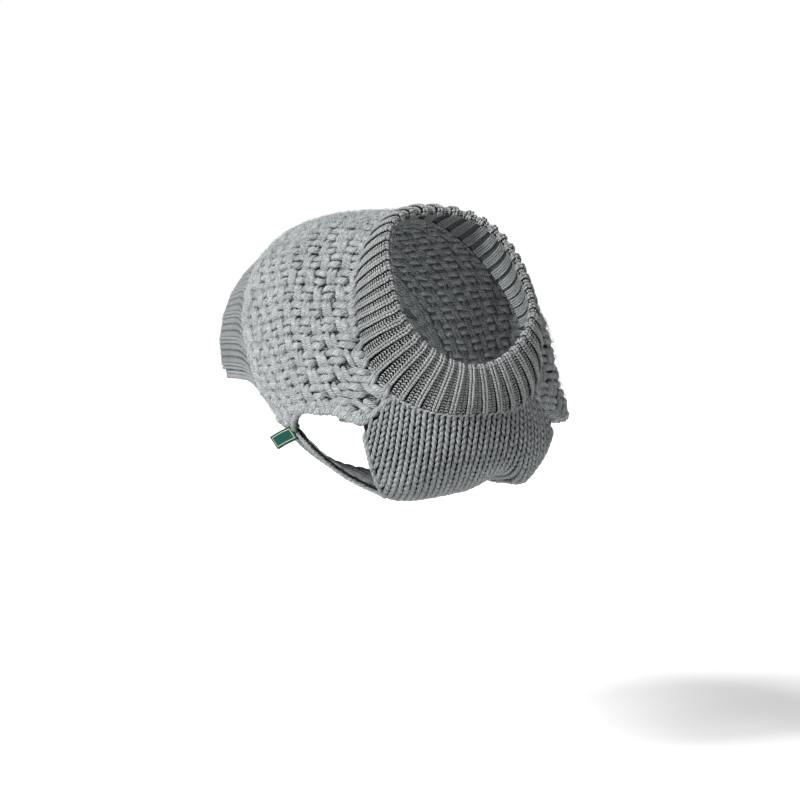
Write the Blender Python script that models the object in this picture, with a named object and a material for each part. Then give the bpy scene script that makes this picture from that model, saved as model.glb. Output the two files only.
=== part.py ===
"""Dog sweater in its worn shape: knitted back, chest, ribbed collar, ribbed rear band and a label.

Every cut piece is one closed wall on the same hollow form. The form is a row of rings that run
round the wearer from the spine to the belly, each set by a few sizes. The wall's outer points
carry the ribs, and its inner points are plain.

Row frame: the origin is inside the back on the centre line, where the wearer holds the garment
up. +X is the wearer's left, +Y points to the tail and +Z is up.
"""

import bmesh
import bpy
import numpy as np

# Tables and sizes are in millimetres, and the meshes are in metres.
MM = 0.001

# Cloth thicknesses and the gap at every seam.
BACK_WALL = 3.0
CHEST_WALL = 2.6
COLLAR_WALL = 2.2
HEM_WALL = 2.2
LABEL_WALL = 1.0
SEAM_GAP = 0.3

# How far each piece's outer face stands off the form.
HEM_SINK = 0.9
COLLAR_RISE = (
    (0.0, 0.3), (0.10, 1.5), (0.24, 2.2), (0.40, 2.5),
    (0.58, 2.5), (0.76, 2.1), (0.90, 1.4), (1.0, 0.5),
)
COLLAR_INNER_ROWS = (0.0, 0.40, 1.0)

# Ribs: count, height, and the share of one pitch that the raised part takes. The rear band's
# ribs start lower on the flanks than they end, by the share of its half width in HEM_SWEEP.
COLLAR_RIBS = 44
COLLAR_RIB_HEIGHT = 1.5
COLLAR_RIB_SHARE = 0.34
HEM_RIBS = 13
HEM_RIB_HEIGHT = 1.5
HEM_RIB_SHARE = 0.34
HEM_SWEEP = 0.05
RIB_SHOULDER = 0.08

# Grid sizes.
BACK_COLUMNS = 37
CHEST_COLUMNS = 27
RING_SAMPLES = 121
BACK_ROWS = (
    0.0, 0.04, 0.08, 0.10, 0.12, 0.16, 0.20, 0.25, 0.30, 0.345, 0.39, 0.42,
    0.45, 0.47, 0.49, 0.52, 0.56, 0.60, 0.63, 0.665, 0.70, 0.74,
)
HEM_ROWS = (0.74, 0.775, 0.82, 0.865, 0.91, 0.955, 1.0)
CHEST_LAST = 0.60

# One row per ring of the body. top and low are its points on the spine and on the belly line,
# wide_at is the share of the way down where it is widest, upper and lower say how full it is
# above and below that, bow pushes its sides to the rear and turn swings it to the wearer's right.
RING_COLUMNS = (
    "place", "along", "top_y", "top_z", "low_y", "low_z",
    "half_width", "wide_at", "upper", "lower", "bow", "turn",
)
RINGS = (
    ("neckline", 0.00, -78, 7, -183, -93, 46, 0.62, 2.0, 2.2, 10, -7),
    ("shoulder", 0.10, -61, 7, -186, -118, 59, 0.61, 2.4, 2.5, 10, -10),
    ("forechest", 0.22, -43, 6, -174, -136, 64, 0.59, 2.4, 2.7, 8, -9),
    ("armhole", 0.36, -22, 5, -136, -140, 65, 0.57, 2.3, 2.6, 6, -5),
    ("girth", 0.50, 0, 3, -93, -138, 63, 0.57, 2.1, 2.4, 4, -3),
    ("ribs", 0.64, 22, -1, -53, -134, 60, 0.57, 2.0, 2.3, 3, 0),
    ("loin", 0.80, 50, -8, -12, -126, 56, 0.58, 1.9, 2.2, 2, 0),
    ("hem", 1.00, 83, -21, 38, -116, 51, 0.62, 1.8, 2.2, 0, 0),
)
NECK_RING = (-103, 10, -181, -70, 38, 0.66, 2.5, 1.8, -9, -8)

# Soft folds and hollows of the cloth. round is the share of the half girth from the spine, minus
# on the wearer's right, and slant is how far a fold moves round as it runs along.
FOLD_COLUMNS = ("place", "along", "round", "reach_along", "reach_round", "slant", "height")
FOLDS = (
    ("hollow between the legs", 0.20, 0.97, 0.14, 0.10, 0.0, -6.0),
    ("hollow between the legs", 0.20, -1.03, 0.14, 0.10, 0.0, -6.0),
    ("left armhole corner", 0.12, 0.66, 0.06, 0.07, 0.0, 6.0),
    ("left shoulder", 0.08, 0.40, 0.10, 0.18, 0.0, 4.0),
    ("right chest corner", 0.26, -0.87, 0.12, 0.08, 0.0, 2.5),
    ("left chest corner", 0.20, 0.85, 0.12, 0.10, 0.0, -3.0),
    ("right drag line", 0.16, -0.17, 0.16, 0.022, -0.55, -1.1),
    ("right drag line", 0.16, -0.25, 0.16, 0.030, -0.55, 0.9),
    ("left drag line", 0.18, 0.19, 0.15, 0.024, 0.50, -1.0),
    ("left drag line", 0.17, 0.27, 0.15, 0.030, 0.50, 0.9),
    ("right loin ripple", 0.66, -0.30, 0.07, 0.16, 0.0, 1.2),
    ("left loin ripple", 0.68, 0.33, 0.07, 0.15, 0.0, 1.1),
    ("right armhole sag", 0.30, -0.56, 0.12, 0.05, 0.0, 1.2),
    ("left armhole sag", 0.31, 0.57, 0.11, 0.05, 0.0, 1.1),
)

# Cut edges beside and below the armholes. back and chest are the share of the half girth, from
# the spine, where each panel ends. The line is cornered at the named corners and smooth between.
EDGE_COLUMNS = ("place", "along", "back", "chest")
EDGES = (
    ("neckline", 0.00, 0.755, 0.755),
    ("shoulder tip", 0.08, 0.725, 0.725),
    ("armhole front", 0.12, 0.665, 0.768),
    ("armhole top", 0.20, 0.622, 0.820),
    ("armhole top", 0.30, 0.610, 0.860),
    ("armhole low", 0.39, 0.632, 0.830),
    ("armhole low", 0.45, 0.662, 0.740),
    ("armhole rear", 0.49, 0.690, 0.690),
    ("side seam end", 0.60, 0.695, 0.695),
    ("slanted edge", 0.63, 0.655, 0.695),
    ("slanted edge", 0.70, 0.615, 0.695),
    ("band edge", 0.85, 0.612, 0.695),
    ("hem corner", 1.00, 0.627, 0.695),
)
CORNERS = ("neckline", "shoulder tip", "armhole rear", "side seam end", "hem corner")

# The rear band starts nearer the hem on the spine than at the sides.
BAND_NOMINAL = 0.74
BAND_ON_SPINE = 0.80
BAND_AT_SIDE = 0.69
BAND_SIDE_ROUND = 0.62
BAND_CURVE = 1.6

# Label: sewn at the rear of the right armhole, its free end out, back and down.
LABEL_ROOT = (-59.7, -69.1, -109.95)
LABEL_RUN = (-7.0, 19.0, -9.0)
LABEL_ACROSS = (2.0, -6.0, -6.0)
LABEL_LENGTH = 22.0
LABEL_WIDTH = 9.0
LABEL_SAG = 1.0
LABEL_STEPS = 8

# One plain colour per cloth, as linear red, green and blue.
YARN = (0.36, 0.39, 0.385)
COLOURS = {
    "back_panel": YARN,
    "chest_panel": YARN,
    "collar": YARN,
    "hem_rib": YARN,
    "label": (0.012, 0.06, 0.045),
}


def column(rows, names, name):
    """One named column of a table."""
    place = names.index(name)
    return [row[place] for row in rows]


def blend(knots, values, where):
    """Smooth curve through the values, with the slope at each knot taken from its neighbours."""
    knots = np.asarray(knots, float)
    values = np.asarray(values, float)
    slopes = np.gradient(values, knots)
    where = np.clip(np.asarray(where, float), knots[0], knots[-1])
    start = np.clip(np.searchsorted(knots, where, side="right") - 1, 0, len(knots) - 2)
    step = knots[start + 1] - knots[start]
    t = (where - knots[start]) / step
    ease = t * t * (3.0 - 2.0 * t)
    curve = values[start] * (1.0 - ease) + values[start + 1] * ease
    leave = slopes[start] * step * t * (1.0 - t) ** 2
    reach = slopes[start + 1] * step * t * t * (t - 1.0)
    return curve + leave + reach


def ring_sizes(along):
    """The ten sizes of the body's ring at one place along it."""
    knots = column(RINGS, RING_COLUMNS, "along")
    names = RING_COLUMNS[2:]
    return [float(blend(knots, column(RINGS, RING_COLUMNS, name), along)) for name in names]


def ring_points(sizes, around):
    """Points of one ring. around runs from 0 on the spine to 1 or -1 on the belly line."""
    top_y, top_z, low_y, low_z, half_width, wide_at, upper, lower, bow, turn = sizes
    angle = np.linspace(0.0, np.pi, RING_SAMPLES)
    above = angle <= np.pi / 2.0
    power = 2.0 / np.where(above, upper, lower)
    side = np.abs(np.sin(angle)) ** power
    rise = np.abs(np.cos(angle)) ** power
    down = np.where(above, wide_at * (1.0 - rise), wide_at + (1.0 - wide_at) * rise)
    length = np.hypot(low_y - top_y, low_z - top_z)
    back = abs(low_z - top_z) / length
    fall = (low_y - top_y) / length
    x = half_width * side
    y = top_y + (low_y - top_y) * down + bow * side * side * back
    z = top_z + (low_z - top_z) * down + bow * side * side * fall
    steps = np.sqrt(np.diff(x) ** 2 + np.diff(y) ** 2 + np.diff(z) ** 2)
    share = np.concatenate([[0.0], np.cumsum(steps)]) / steps.sum()
    wrapped = (np.asarray(around, float) + 1.0) % 2.0 - 1.0
    place = np.abs(wrapped)
    px = np.interp(place, share, x) * np.sign(wrapped)
    py = np.interp(place, share, y)
    pz = np.interp(place, share, z)
    return np.stack([px, py, pz], axis=-1)


def swing(points, sizes):
    """Turn a ring about the upright line through its middle."""
    middle = 0.5 * (sizes[0] + sizes[2])
    angle = np.radians(sizes[9])
    x = points[..., 0]
    y = points[..., 1] - middle
    turned_x = x * np.cos(angle) - y * np.sin(angle)
    turned_y = middle + x * np.sin(angle) + y * np.cos(angle)
    return np.stack([turned_x, turned_y, points[..., 2]], axis=-1)


def folded(points, sizes, along, around):
    """Add the soft folds, each along the line out from the ring's middle."""
    wrapped = (np.asarray(around, float) + 1.0) % 2.0 - 1.0
    middle = np.array([0.0, 0.5 * (sizes[0] + sizes[2]), 0.5 * (sizes[1] + sizes[3])])
    outward = points - middle
    outward = outward / np.linalg.norm(outward, axis=-1, keepdims=True)
    height = np.zeros(wrapped.shape)
    for _, at, place, reach_along, reach_round, slant, size in FOLDS:
        run = (along - at) / reach_along
        off = (wrapped - place - slant * (along - at)) / reach_round
        height = height + size * np.exp(-run * run - off * off)
    return points + outward * height[..., None]


def body_row(along, around):
    """Points of the body form at one place along it."""
    sizes = ring_sizes(along)
    points = ring_points(sizes, around)
    return swing(folded(points, sizes, along, around), sizes)


def collar_row(up, around):
    """Points of the collar form: 0 at the seam and 1 at the neck edge."""
    seam = body_row(0.0, around)
    edge = swing(ring_points(NECK_RING, around), NECK_RING)
    return seam + (edge - seam) * up


def form_row(along, around):
    """Points of the whole form: the collar below 0 and the body from 0 to 1."""
    if along < 0.0:
        return collar_row(-along, around)
    return body_row(along, around)


def unit(vectors):
    """Vectors brought to length 1."""
    return vectors / np.linalg.norm(vectors, axis=-1, keepdims=True)


def outward(along, around):
    """Outward direction of the form. At the collar seam it halves the angle of both sides."""
    small = 0.004
    around = np.asarray(around, float)
    here = form_row(along, around)
    if along < 1.0:
        after = unit(form_row(along + small, around) - here)
    else:
        after = unit(here - form_row(along - small, around))
    if along > -1.0:
        before = unit(here - form_row(along - small, around))
    else:
        before = after
    across = form_row(along, around + 0.012) - form_row(along, around - 0.012)
    return unit(np.cross(across, after + before))


def half_girth(along):
    """Length of the form from the spine to the belly line, in millimetres."""
    line = form_row(along, np.linspace(0.0, 1.0, 81))
    return float(np.linalg.norm(np.diff(line, axis=0), axis=1).sum())


def edge_at(along, name):
    """Share of the half girth where a panel ends, cornered at the named corners."""
    places = column(EDGES, EDGE_COLUMNS, "place")
    knots = column(EDGES, EDGE_COLUMNS, "along")
    values = column(EDGES, EDGE_COLUMNS, name)
    stops = [places.index(corner) for corner in CORNERS]
    for first, last in zip(stops[:-1], stops[1:]):
        if along <= knots[last] + 1e-9:
            return float(blend(knots[first:last + 1], values[first:last + 1], along))
    return float(values[-1])


def band_start(around):
    """Place along the body where the rear band begins."""
    share = np.clip(np.abs(around) / BAND_SIDE_ROUND, 0.0, 1.0) ** BAND_CURVE
    return BAND_ON_SPINE + (BAND_AT_SIDE - BAND_ON_SPINE) * share


def settled(nominal, around):
    """Place along the body of one grid row, so that a row lies on the band's slanted start."""
    start = band_start(around)
    if nominal <= CHEST_LAST:
        return np.full(np.shape(around), float(nominal))
    if nominal <= BAND_NOMINAL:
        share = (nominal - CHEST_LAST) / (BAND_NOMINAL - CHEST_LAST)
        return CHEST_LAST + share * (start - CHEST_LAST)
    share = (nominal - BAND_NOMINAL) / (1.0 - BAND_NOMINAL)
    return start + share * (1.0 - start)


def row_on_form(alongs, arounds):
    """Points and outward directions for one row whose place along may change on its way round."""
    points = []
    directions = []
    for along, around in zip(alongs, arounds):
        points.append(form_row(float(along), np.array([around]))[0])
        directions.append(outward(float(along), np.array([around]))[0])
    return np.array(points), np.array(directions)


def shifted(alongs, arounds, distance):
    """Move places along the form by a distance in millimetres, to leave a seam gap."""
    small = 0.004
    moved = []
    for along, around in zip(alongs, arounds):
        at = np.array([around])
        low = min(float(along), 1.0 - small)
        run = np.linalg.norm(form_row(low + small, at)[0] - form_row(low, at)[0])
        moved.append(float(along) + distance * small / run)
    return np.array(moved)


def place_material(name):
    """Plain material of one piece."""
    material = bpy.data.materials.new(name)
    material.use_nodes = True
    shader = material.node_tree.nodes["Principled BSDF"]
    shader.inputs["Base Color"].default_value = (*COLOURS[name], 1.0)
    shader.inputs["Roughness"].default_value = 0.9
    return material


def wall(name, outer, inner, closed):
    """Closed wall between an outer and an inner grid of points, in millimetres.

    Each grid is a list of rows, all with the same number of points. A closed wall goes right
    round. An open one has the same number of rows inside and outside.
    """
    mesh = bpy.data.meshes.new(name)
    cloth = bmesh.new()
    outer_verts = [[cloth.verts.new(point * MM) for point in row] for row in outer]
    inner_verts = [[cloth.verts.new(point * MM) for point in row] for row in inner]
    count = len(outer_verts[0])
    spans = count if closed else count - 1
    for rows, facing_out in ((outer_verts, True), (inner_verts, False)):
        for low, high in zip(rows[:-1], rows[1:]):
            for i in range(spans):
                j = (i + 1) % count
                corners = [low[i], low[j], high[j], high[i]]
                if not facing_out:
                    corners.reverse()
                cloth.faces.new(corners)
    for i in range(spans):
        j = (i + 1) % count
        cloth.faces.new([inner_verts[0][i], inner_verts[0][j], outer_verts[0][j], outer_verts[0][i]])
        cloth.faces.new([outer_verts[-1][i], outer_verts[-1][j], inner_verts[-1][j], inner_verts[-1][i]])
    if not closed:
        for k in range(len(outer_verts) - 1):
            near = [outer_verts[k][0], outer_verts[k + 1][0], inner_verts[k + 1][0], inner_verts[k][0]]
            far = [inner_verts[k][-1], inner_verts[k + 1][-1], outer_verts[k + 1][-1], outer_verts[k][-1]]
            cloth.faces.new(near)
            cloth.faces.new(far)
    bmesh.ops.recalc_face_normals(cloth, faces=cloth.faces)
    cloth.to_mesh(mesh)
    cloth.free()
    mesh.materials.append(place_material(name))
    piece = bpy.data.objects.new(name, mesh)
    bpy.context.collection.objects.link(piece)
    return piece


def rib_places(count, share, open_ends):
    """Places across a ribbed band, from 0 to 1, with the rib height from 0 to 1 at each."""
    low = 0.5 - share / 2.0
    marks = (
        (0.0, 0.0),
        (low - RIB_SHOULDER, 0.0),
        (low, 1.0),
        (1.0 - low, 1.0),
        (1.0 - low + RIB_SHOULDER, 0.0),
    )
    places = []
    for rib in range(count):
        for mark, height in marks:
            places.append(((rib + mark) / count, height))
    if open_ends:
        places.append((1.0, 0.0))
    return places


def build_back():
    """Back and sides in one piece, from the neckline to the rear band."""
    outer = []
    inner = []
    share = np.linspace(-1.0, 1.0, BACK_COLUMNS)
    for nominal in BACK_ROWS:
        at_side = float(settled(nominal, np.array([BAND_SIDE_ROUND]))[0])
        inset = 0.5 * SEAM_GAP / half_girth(at_side)
        around = share * (edge_at(at_side, "back") - inset)
        along = settled(nominal, around)
        if nominal == BACK_ROWS[0]:
            along = shifted(along, around, 0.5 * SEAM_GAP)
        if nominal == BACK_ROWS[-1]:
            along = shifted(along, around, -0.5 * SEAM_GAP)
        points, directions = row_on_form(along, around)
        outer.append(points)
        inner.append(points - directions * BACK_WALL)
    return wall("back_panel", outer, inner, False)


def build_chest():
    """Chest and belly in one piece, between the armholes and back to the side seams' ends."""
    outer = []
    inner = []
    for nominal in [row for row in BACK_ROWS if row <= CHEST_LAST]:
        inset = 0.5 * SEAM_GAP / half_girth(nominal)
        first = edge_at(nominal, "chest") + inset
        around = np.linspace(first, 2.0 - first, CHEST_COLUMNS)
        along = np.full(around.shape, float(nominal))
        if nominal == BACK_ROWS[0]:
            along = shifted(along, around, 0.5 * SEAM_GAP)
        points, directions = row_on_form(along, around)
        outer.append(points)
        inner.append(points - directions * CHEST_WALL)
    return wall("chest_panel", outer, inner, False)


def build_collar():
    """Ribbed tube from the neckline to the neck edge, its ribs raised on the outside."""
    places = rib_places(COLLAR_RIBS, COLLAR_RIB_SHARE, False)
    around = np.array([2.0 * place - 1.0 for place, _ in places])
    height = np.array([rib for _, rib in places])
    lengths = np.linalg.norm(form_row(-1.0, around) - form_row(0.0, around), axis=1)
    outer = []
    inner = []
    for up, rise in COLLAR_RISE:
        along = -np.full(around.shape, up)
        if up == 0.0:
            along = -0.5 * SEAM_GAP / lengths
        points, directions = row_on_form(along, around)
        fade = 0.35 if up in (0.0, 1.0) else 1.0
        lift = rise + COLLAR_RIB_HEIGHT * height * fade
        outer.append(points + directions * lift[:, None])
        if up in COLLAR_INNER_ROWS:
            inner.append(points - directions * (COLLAR_WALL - min(rise, 1.0)))
    return wall("collar", outer, inner, True)


def build_hem():
    """Ribbed band across the rear of the back, its ribs raised on the outside."""
    places = rib_places(HEM_RIBS, HEM_RIB_SHARE, True)
    share = np.array([2.0 * place - 1.0 for place, _ in places])
    height = np.array([rib for _, rib in places])
    outer = []
    inner = []
    for nominal in HEM_ROWS:
        at_side = float(settled(nominal, np.array([BAND_SIDE_ROUND]))[0])
        inset = 0.5 * SEAM_GAP / half_girth(at_side)
        rise = (nominal - BAND_NOMINAL) / (1.0 - BAND_NOMINAL)
        swept = share + HEM_SWEEP * (1.0 - rise) * np.sin(np.pi * share)
        around = swept * (edge_at(at_side, "back") - inset)
        along = settled(nominal, around)
        if nominal == HEM_ROWS[0]:
            along = shifted(along, around, 0.5 * SEAM_GAP)
        points, directions = row_on_form(along, around)
        fade = 0.4 if nominal in (HEM_ROWS[0], HEM_ROWS[-1]) else 1.0
        lift = HEM_RIB_HEIGHT * height * fade - HEM_SINK
        outer.append(points + directions * lift[:, None])
        inner.append(points - directions * (HEM_WALL + HEM_SINK))
    return wall("hem_rib", outer, inner, False)


def build_label():
    """Small folded woven label, a thin strip with a slight sag."""
    run = unit(np.array(LABEL_RUN))
    across = unit(np.array(LABEL_ACROSS))
    face = unit(np.cross(run, across))
    outer = []
    inner = []
    for step in range(LABEL_STEPS + 1):
        share = step / LABEL_STEPS
        sag = LABEL_SAG * np.sin(np.pi * share)
        middle = np.array(LABEL_ROOT) + run * LABEL_LENGTH * share + face * sag
        width = LABEL_WIDTH if 0 < step < LABEL_STEPS else LABEL_WIDTH - 0.8
        sides = [middle - across * width / 2.0, middle + across * width / 2.0]
        outer.append([side + face * LABEL_WALL / 2.0 for side in sides])
        inner.append([side - face * LABEL_WALL / 2.0 for side in sides])
    return wall("label", outer, inner, False)


def main():
    """Clear the scene and build the five pieces."""
    for item in list(bpy.data.objects):
        bpy.data.objects.remove(item)
    for build in (build_back, build_chest, build_collar, build_hem, build_label):
        piece = build()
        print(piece.name, len(piece.data.polygons), "faces")


main()
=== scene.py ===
# %% [markdown]
# # A knitted dog sweater, dressed over its solids
# The garment is one hollow form: a back panel in basket knit, a chest panel in plain knit, a
# ribbed collar, a ribbed rear band and a small folded label. The solids give its shape and
# size. This lesson adds what makes it knitwear: a thin cloth layer with its folds, and on it
# every bar, stitch and rib of yarn as a soft strand. All lengths in the tables are millimetres,
# and the meshes are metres, because that is what Blender and the solids use.

# %% Load the solids
import math

import bmesh
import bpy
import numpy as np
from mathutils import Matrix


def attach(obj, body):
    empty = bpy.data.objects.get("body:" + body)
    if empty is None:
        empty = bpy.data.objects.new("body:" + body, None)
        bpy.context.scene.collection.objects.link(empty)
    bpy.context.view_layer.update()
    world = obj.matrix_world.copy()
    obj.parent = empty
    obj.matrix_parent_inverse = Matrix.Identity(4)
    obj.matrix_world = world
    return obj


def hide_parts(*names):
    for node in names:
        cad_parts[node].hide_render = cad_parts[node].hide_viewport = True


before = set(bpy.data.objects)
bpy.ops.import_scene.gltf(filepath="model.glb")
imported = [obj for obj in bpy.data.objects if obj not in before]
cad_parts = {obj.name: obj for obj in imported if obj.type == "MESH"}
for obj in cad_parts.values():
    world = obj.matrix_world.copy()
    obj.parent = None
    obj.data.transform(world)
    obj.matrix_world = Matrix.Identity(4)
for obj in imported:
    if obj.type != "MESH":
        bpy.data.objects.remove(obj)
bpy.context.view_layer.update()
MM = 0.001
chance = np.random.default_rng(41)
print("solids:", sorted(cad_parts))

# %% [markdown]
# ## The worn form
# A sweater that is worn takes the round shape of a trunk. It could be simulated, but the solids
# already fix where the cloth lies, so the same few rings are used here: each runs round the
# garment from the spine to the belly line, and every point of the cloth is a place along the
# garment, a place around it, and a height off the form.

# %% Rings, folds and cut edges
RING_COLUMNS = (
    "place", "along", "top_y", "top_z", "low_y", "low_z",
    "half_width", "wide_at", "upper", "lower", "bow", "turn",
)
RINGS = (
    ("neckline", 0.00, -78, 7, -183, -93, 46, 0.62, 2.0, 2.2, 10, -7),
    ("shoulder", 0.10, -61, 7, -186, -118, 59, 0.61, 2.4, 2.5, 10, -10),
    ("forechest", 0.22, -43, 6, -174, -136, 64, 0.59, 2.4, 2.7, 8, -9),
    ("armhole", 0.36, -22, 5, -136, -140, 65, 0.57, 2.3, 2.6, 6, -5),
    ("girth", 0.50, 0, 3, -93, -138, 63, 0.57, 2.1, 2.4, 4, -3),
    ("ribs", 0.64, 22, -1, -53, -134, 60, 0.57, 2.0, 2.3, 3, 0),
    ("loin", 0.80, 50, -8, -12, -126, 56, 0.58, 1.9, 2.2, 2, 0),
    ("hem", 1.00, 83, -21, 38, -116, 51, 0.62, 1.8, 2.2, 0, 0),
)
NECK_RING = (-103, 10, -181, -70, 38, 0.66, 2.5, 1.8, -9, -8)
COLLAR_RISE = (
    (0.0, 0.3), (0.10, 1.5), (0.24, 2.2), (0.40, 2.5),
    (0.58, 2.5), (0.76, 2.1), (0.90, 1.4), (1.0, 0.5),
)
FOLD_COLUMNS = ("place", "along", "round", "reach_along", "reach_round", "slant", "height")
FOLDS = (
    ("hollow between the legs", 0.20, 0.97, 0.14, 0.10, 0.0, -6.0),
    ("hollow between the legs", 0.20, -1.03, 0.14, 0.10, 0.0, -6.0),
    ("left armhole corner", 0.12, 0.66, 0.06, 0.07, 0.0, 6.0),
    ("left shoulder", 0.08, 0.40, 0.10, 0.18, 0.0, 4.0),
    ("left shoulder", 0.10, 0.47, 0.09, 0.12, 0.0, 3.4),
    ("right chest corner", 0.26, -0.87, 0.12, 0.08, 0.0, 2.5),
    ("left chest corner", 0.20, 0.85, 0.12, 0.10, 0.0, -3.0),
    ("gather by the left leg", 0.31, 0.890, 0.13, 0.026, 0.0, -6.8),
    ("gather by the left leg", 0.31, 0.918, 0.14, 0.038, 0.0, -5.4),
    ("bulge by the left leg", 0.28, 0.852, 0.12, 0.020, 0.0, 1.8),
    ("right drag line", 0.16, -0.17, 0.16, 0.022, -0.55, -1.1),
    ("right drag line", 0.16, -0.25, 0.16, 0.030, -0.55, 0.9),
    ("left drag line", 0.18, 0.19, 0.15, 0.024, 0.50, -1.0),
    ("left drag line", 0.17, 0.27, 0.15, 0.030, 0.50, 0.9),
    ("right loin ripple", 0.66, -0.30, 0.07, 0.16, 0.0, 1.2),
    ("left loin ripple", 0.68, 0.33, 0.07, 0.15, 0.0, 1.1),
    ("right armhole sag", 0.30, -0.56, 0.12, 0.05, 0.0, 1.2),
    ("left armhole sag", 0.31, 0.57, 0.11, 0.05, 0.0, 1.1),
)
EDGE_COLUMNS = ("place", "along", "back", "chest")
EDGES = (
    ("neckline", 0.00, 0.755, 0.755),
    ("shoulder tip", 0.08, 0.725, 0.725),
    ("armhole front", 0.12, 0.665, 0.768),
    ("armhole top", 0.20, 0.622, 0.820),
    ("armhole top", 0.30, 0.610, 0.860),
    ("armhole low", 0.39, 0.632, 0.830),
    ("armhole low", 0.45, 0.662, 0.740),
    ("armhole rear", 0.49, 0.690, 0.690),
    ("side seam end", 0.60, 0.695, 0.695),
    ("slanted edge", 0.63, 0.655, 0.695),
    ("slanted edge", 0.70, 0.615, 0.695),
    ("band edge", 0.85, 0.612, 0.695),
    ("hem corner", 1.00, 0.627, 0.695),
)
CORNERS = ("neckline", "shoulder tip", "armhole rear", "side seam end", "hem corner")
BAND_ON_SPINE = 0.80
BAND_AT_SIDE = 0.675
BAND_SIDE_ROUND = 0.62
BAND_CURVE = 1.6
CHEST_LAST = 0.60
print(len(RINGS), "rings,", len(FOLDS), "folds,", len(EDGES), "edge places")

# %% Curves and rings
def column(rows, names, name):
    """One named column of a table."""
    return [row[names.index(name)] for row in rows]


def smooth(knots, values, where):
    """Smooth curve through the values."""
    knots = np.asarray(knots, float)
    values = np.asarray(values, float)
    slopes = np.gradient(values, knots)
    where = np.clip(np.asarray(where, float), knots[0], knots[-1])
    start = np.clip(np.searchsorted(knots, where, side="right") - 1, 0, len(knots) - 2)
    step = knots[start + 1] - knots[start]
    t = (where - knots[start]) / step
    ease = t * t * (3.0 - 2.0 * t)
    curve = values[start] * (1.0 - ease) + values[start + 1] * ease
    return curve + slopes[start] * step * t * (1.0 - t) ** 2 + slopes[start + 1] * step * t * t * (t - 1.0)


def ring_points(sizes, around):
    """Points of one ring. around runs from 0 on the spine to 1 or -1 on the belly line."""
    top_y, top_z, low_y, low_z, half_width, wide_at, upper, lower, bow, turn = sizes
    angle = np.linspace(0.0, np.pi, 241)
    above = angle <= np.pi / 2.0
    power = 2.0 / np.where(above, upper, lower)
    side = np.abs(np.sin(angle)) ** power
    rise = np.abs(np.cos(angle)) ** power
    down = np.where(above, wide_at * (1.0 - rise), wide_at + (1.0 - wide_at) * rise)
    length = np.hypot(low_y - top_y, low_z - top_z)
    x = half_width * side
    y = top_y + (low_y - top_y) * down + bow * side * side * abs(low_z - top_z) / length
    z = top_z + (low_z - top_z) * down + bow * side * side * (low_y - top_y) / length
    steps = np.sqrt(np.diff(x) ** 2 + np.diff(y) ** 2 + np.diff(z) ** 2)
    share = np.concatenate([[0.0], np.cumsum(steps)]) / steps.sum()
    place = np.abs(around)
    return np.stack([np.interp(place, share, x) * np.sign(around),
                     np.interp(place, share, y), np.interp(place, share, z)], axis=-1)


def swing(points, sizes):
    """Turn a ring about the upright line through its middle."""
    middle = 0.5 * (sizes[0] + sizes[2])
    angle = math.radians(sizes[9])
    x, y = points[..., 0], points[..., 1] - middle
    return np.stack([x * math.cos(angle) - y * math.sin(angle),
                     middle + x * math.sin(angle) + y * math.cos(angle), points[..., 2]], axis=-1)


def body_row(along, around):
    """One row of the body form, folds included."""
    sizes = [float(smooth(column(RINGS, RING_COLUMNS, "along"), column(RINGS, RING_COLUMNS, name), along))
             for name in RING_COLUMNS[2:]]
    points = ring_points(sizes, around)
    outward = points - np.array([0.0, 0.5 * (sizes[0] + sizes[2]), 0.5 * (sizes[1] + sizes[3])])
    outward /= np.linalg.norm(outward, axis=-1, keepdims=True)
    height = np.zeros(around.shape)
    for row in FOLDS:
        fold = dict(zip(FOLD_COLUMNS, row))
        ahead = along - fold["along"]
        run = ahead / fold["reach_along"]
        off = (around - fold["round"] - fold["slant"] * ahead) / fold["reach_round"]
        height += fold["height"] * np.exp(-run * run - off * off)
    return swing(points + outward * height[:, None], sizes)


# %% Dense grids of the form
AROUND = np.linspace(-1.0, 1.0, 401)
BODY_ALONG = np.linspace(0.0, 1.0, 201)
COLLAR_UP = np.linspace(0.0, 1.0, 41)


def unit(vectors):
    return vectors / np.maximum(np.linalg.norm(vectors, axis=-1, keepdims=True), 1e-9)


def outward_of(points, run):
    """Outward directions of a grid, from its run along and its step around."""
    across = np.roll(points[:, :-1], -1, axis=1) - np.roll(points[:, :-1], 1, axis=1)
    across = np.concatenate([across, across[:, :1]], axis=1)
    return unit(np.cross(across, run))


body = np.array([body_row(a, AROUND) for a in BODY_ALONG])
neck_edge = swing(ring_points(NECK_RING, AROUND), NECK_RING)
collar = body[0] + (neck_edge - body[0]) * COLLAR_UP[:, None, None]
body_run = unit(np.gradient(body, axis=0))
collar_run = unit(np.broadcast_to(body[0] - neck_edge, collar.shape).copy())
seam_run = unit(body_run[0] + collar_run[0])
body_run[0] = seam_run
body_out = outward_of(body, body_run)
mitred = np.concatenate([seam_run[None], collar_run[1:]])
collar_out = outward_of(collar, mitred)
girths = np.linalg.norm(np.diff(body, axis=1), axis=2).sum(axis=1) / 2.0
steps = np.linalg.norm(np.diff(body, axis=0), axis=2)
lengths = np.concatenate([np.zeros((1, len(AROUND))), np.cumsum(steps, axis=0)])
print("half girth from", round(girths.min()), "to", round(girths.max()), "mm")


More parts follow.
